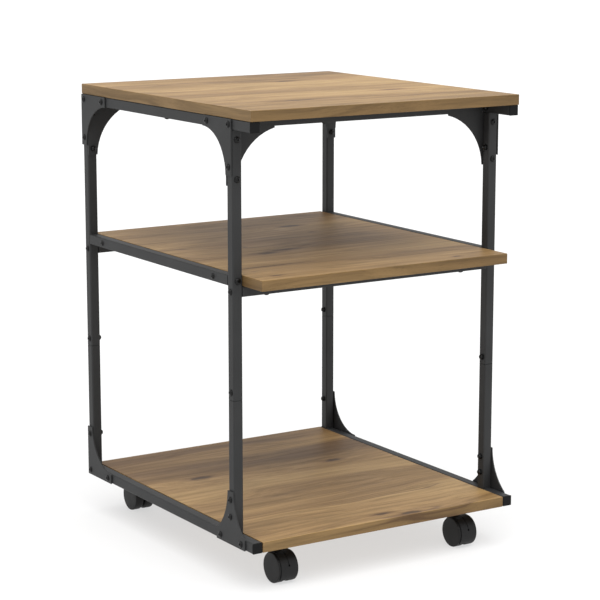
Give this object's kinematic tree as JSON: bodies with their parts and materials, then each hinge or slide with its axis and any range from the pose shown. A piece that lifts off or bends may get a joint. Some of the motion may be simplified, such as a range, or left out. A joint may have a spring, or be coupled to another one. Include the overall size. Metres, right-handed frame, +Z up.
{
  "type": "mobile printer stand",
  "caption": "Rolling printer stand: a square-tube steel frame with arched corner plates, a top board and two shelves, on swivelling twin-wheel casters.",
  "frame": {"origin": "on the floor, under the middle of the stand", "axes": "+Z up, +X to the right along the front edge, +Y from the front edge to the back"},
  "size_m": [0.4596, 0.5, 0.6723],
  "materials": {
    "laminate": "wood-grain laminate on board, satin, with matching edge banding",
    "powder_coat": "charcoal powder coat, fine matt texture",
    "cap_plastic": "moulded black plastic",
    "caster_plastic": "moulded black nylon, satin",
    "zinc_steel": "zinc plated",
    "black_bolt": "black oxide with a slight gloss"
  },
  "bodies": {
    "root": {"arch_frame_back": "powder_coat", "arch_frame_front": "powder_coat", "bottom_cap_left_back": "cap_plastic", "bottom_cap_left_front": "cap_plastic", "bottom_cap_right_back": "cap_plastic", "bottom_cap_right_front": "cap_plastic", "bottom_gusset_back_left": "powder_coat", "bottom_gusset_back_right": "powder_coat", "bottom_rail_left": "powder_coat", "bottom_rail_right": "powder_coat", "bottom_shelf": "laminate", "caster_back_left_plate": "zinc_steel", "caster_back_right_plate": "zinc_steel", "caster_front_left_plate": "zinc_steel", "caster_front_right_plate": "zinc_steel", "foot_plate_front_left": "powder_coat", "foot_plate_front_right": "powder_coat", "gusset_bolt_front_left": "black_bolt", "gusset_bolt_front_right": "black_bolt", "lower_leg_back_left": "powder_coat", "lower_leg_back_right": "powder_coat", "lower_leg_front_left": "powder_coat", "lower_leg_front_right": "powder_coat", "middle_crossbar_back": "powder_coat", "middle_crossbar_front": "powder_coat", "middle_rail_left": "powder_coat", "middle_rail_right": "powder_coat", "middle_shelf": "laminate", "top_board": "laminate", "top_cap_left_back": "cap_plastic", "top_cap_left_front": "cap_plastic", "top_cap_right_back": "cap_plastic", "top_cap_right_front": "cap_plastic", "top_gusset_back_left": "powder_coat", "top_gusset_back_right": "powder_coat", "top_gusset_front_left": "powder_coat", "top_gusset_front_right": "powder_coat", "top_rail_left": "powder_coat", "top_rail_right": "powder_coat", "upper_leg_back_left": "powder_coat", "upper_leg_back_right": "powder_coat", "upper_leg_front_left": "powder_coat", "upper_leg_front_right": "powder_coat"},
    "caster_front_left": {"caster_front_left_hood": "caster_plastic", "caster_front_left_axle": "zinc_steel"},
    "caster_front_left_wheel_left_body": {"caster_front_left_wheel_left": "caster_plastic"},
    "caster_front_left_wheel_right_body": {"caster_front_left_wheel_right": "caster_plastic"},
    "caster_front_right": {"caster_front_right_hood": "caster_plastic", "caster_front_right_axle": "zinc_steel"},
    "caster_front_right_wheel_left_body": {"caster_front_right_wheel_left": "caster_plastic"},
    "caster_front_right_wheel_right_body": {"caster_front_right_wheel_right": "caster_plastic"},
    "caster_back_left": {"caster_back_left_hood": "caster_plastic", "caster_back_left_axle": "zinc_steel"},
    "caster_back_left_wheel_left_body": {"caster_back_left_wheel_left": "caster_plastic"},
    "caster_back_left_wheel_right_body": {"caster_back_left_wheel_right": "caster_plastic"},
    "caster_back_right": {"caster_back_right_hood": "caster_plastic", "caster_back_right_axle": "zinc_steel"},
    "caster_back_right_wheel_left_body": {"caster_back_right_wheel_left": "caster_plastic"},
    "caster_back_right_wheel_right_body": {"caster_back_right_wheel_right": "caster_plastic"}
  },
  "joints": [
    {"name": "caster_front_left_swivel", "type": "hinge", "parent": "root", "child": "caster_front_left", "pos_m": [-0.157, -0.2, 0.047], "axis": [0, 0, 1], "continuous": true},
    {"name": "caster_front_left_wheel_left_roll", "type": "hinge", "parent": "caster_front_left", "child": "caster_front_left_wheel_left_body", "pos_m": [-0.157, -0.213, 0.022], "axis": [1, 0, 0], "continuous": true},
    {"name": "caster_front_left_wheel_right_roll", "type": "hinge", "parent": "caster_front_left", "child": "caster_front_left_wheel_right_body", "pos_m": [-0.157, -0.213, 0.022], "axis": [1, 0, 0], "continuous": true},
    {"name": "caster_front_right_swivel", "type": "hinge", "parent": "root", "child": "caster_front_right", "pos_m": [0.157, -0.2, 0.047], "axis": [0, 0, 1], "continuous": true},
    {"name": "caster_front_right_wheel_left_roll", "type": "hinge", "parent": "caster_front_right", "child": "caster_front_right_wheel_left_body", "pos_m": [0.157, -0.213, 0.022], "axis": [1, 0, 0], "continuous": true},
    {"name": "caster_front_right_wheel_right_roll", "type": "hinge", "parent": "caster_front_right", "child": "caster_front_right_wheel_right_body", "pos_m": [0.157, -0.213, 0.022], "axis": [1, 0, 0], "continuous": true},
    {"name": "caster_back_left_swivel", "type": "hinge", "parent": "root", "child": "caster_back_left", "pos_m": [-0.157, 0.2, 0.047], "axis": [0, 0, 1], "continuous": true},
    {"name": "caster_back_left_wheel_left_roll", "type": "hinge", "parent": "caster_back_left", "child": "caster_back_left_wheel_left_body", "pos_m": [-0.157, 0.213, 0.022], "axis": [1, 0, 0], "continuous": true},
    {"name": "caster_back_left_wheel_right_roll", "type": "hinge", "parent": "caster_back_left", "child": "caster_back_left_wheel_right_body", "pos_m": [-0.157, 0.213, 0.022], "axis": [1, 0, 0], "continuous": true},
    {"name": "caster_back_right_swivel", "type": "hinge", "parent": "root", "child": "caster_back_right", "pos_m": [0.157, 0.2, 0.047], "axis": [0, 0, 1], "continuous": true},
    {"name": "caster_back_right_wheel_left_roll", "type": "hinge", "parent": "caster_back_right", "child": "caster_back_right_wheel_left_body", "pos_m": [0.157, 0.213, 0.022], "axis": [1, 0, 0], "continuous": true},
    {"name": "caster_back_right_wheel_right_roll", "type": "hinge", "parent": "caster_back_right", "child": "caster_back_right_wheel_right_body", "pos_m": [0.157, 0.213, 0.022], "axis": [1, 0, 0], "continuous": true}
  ]
}
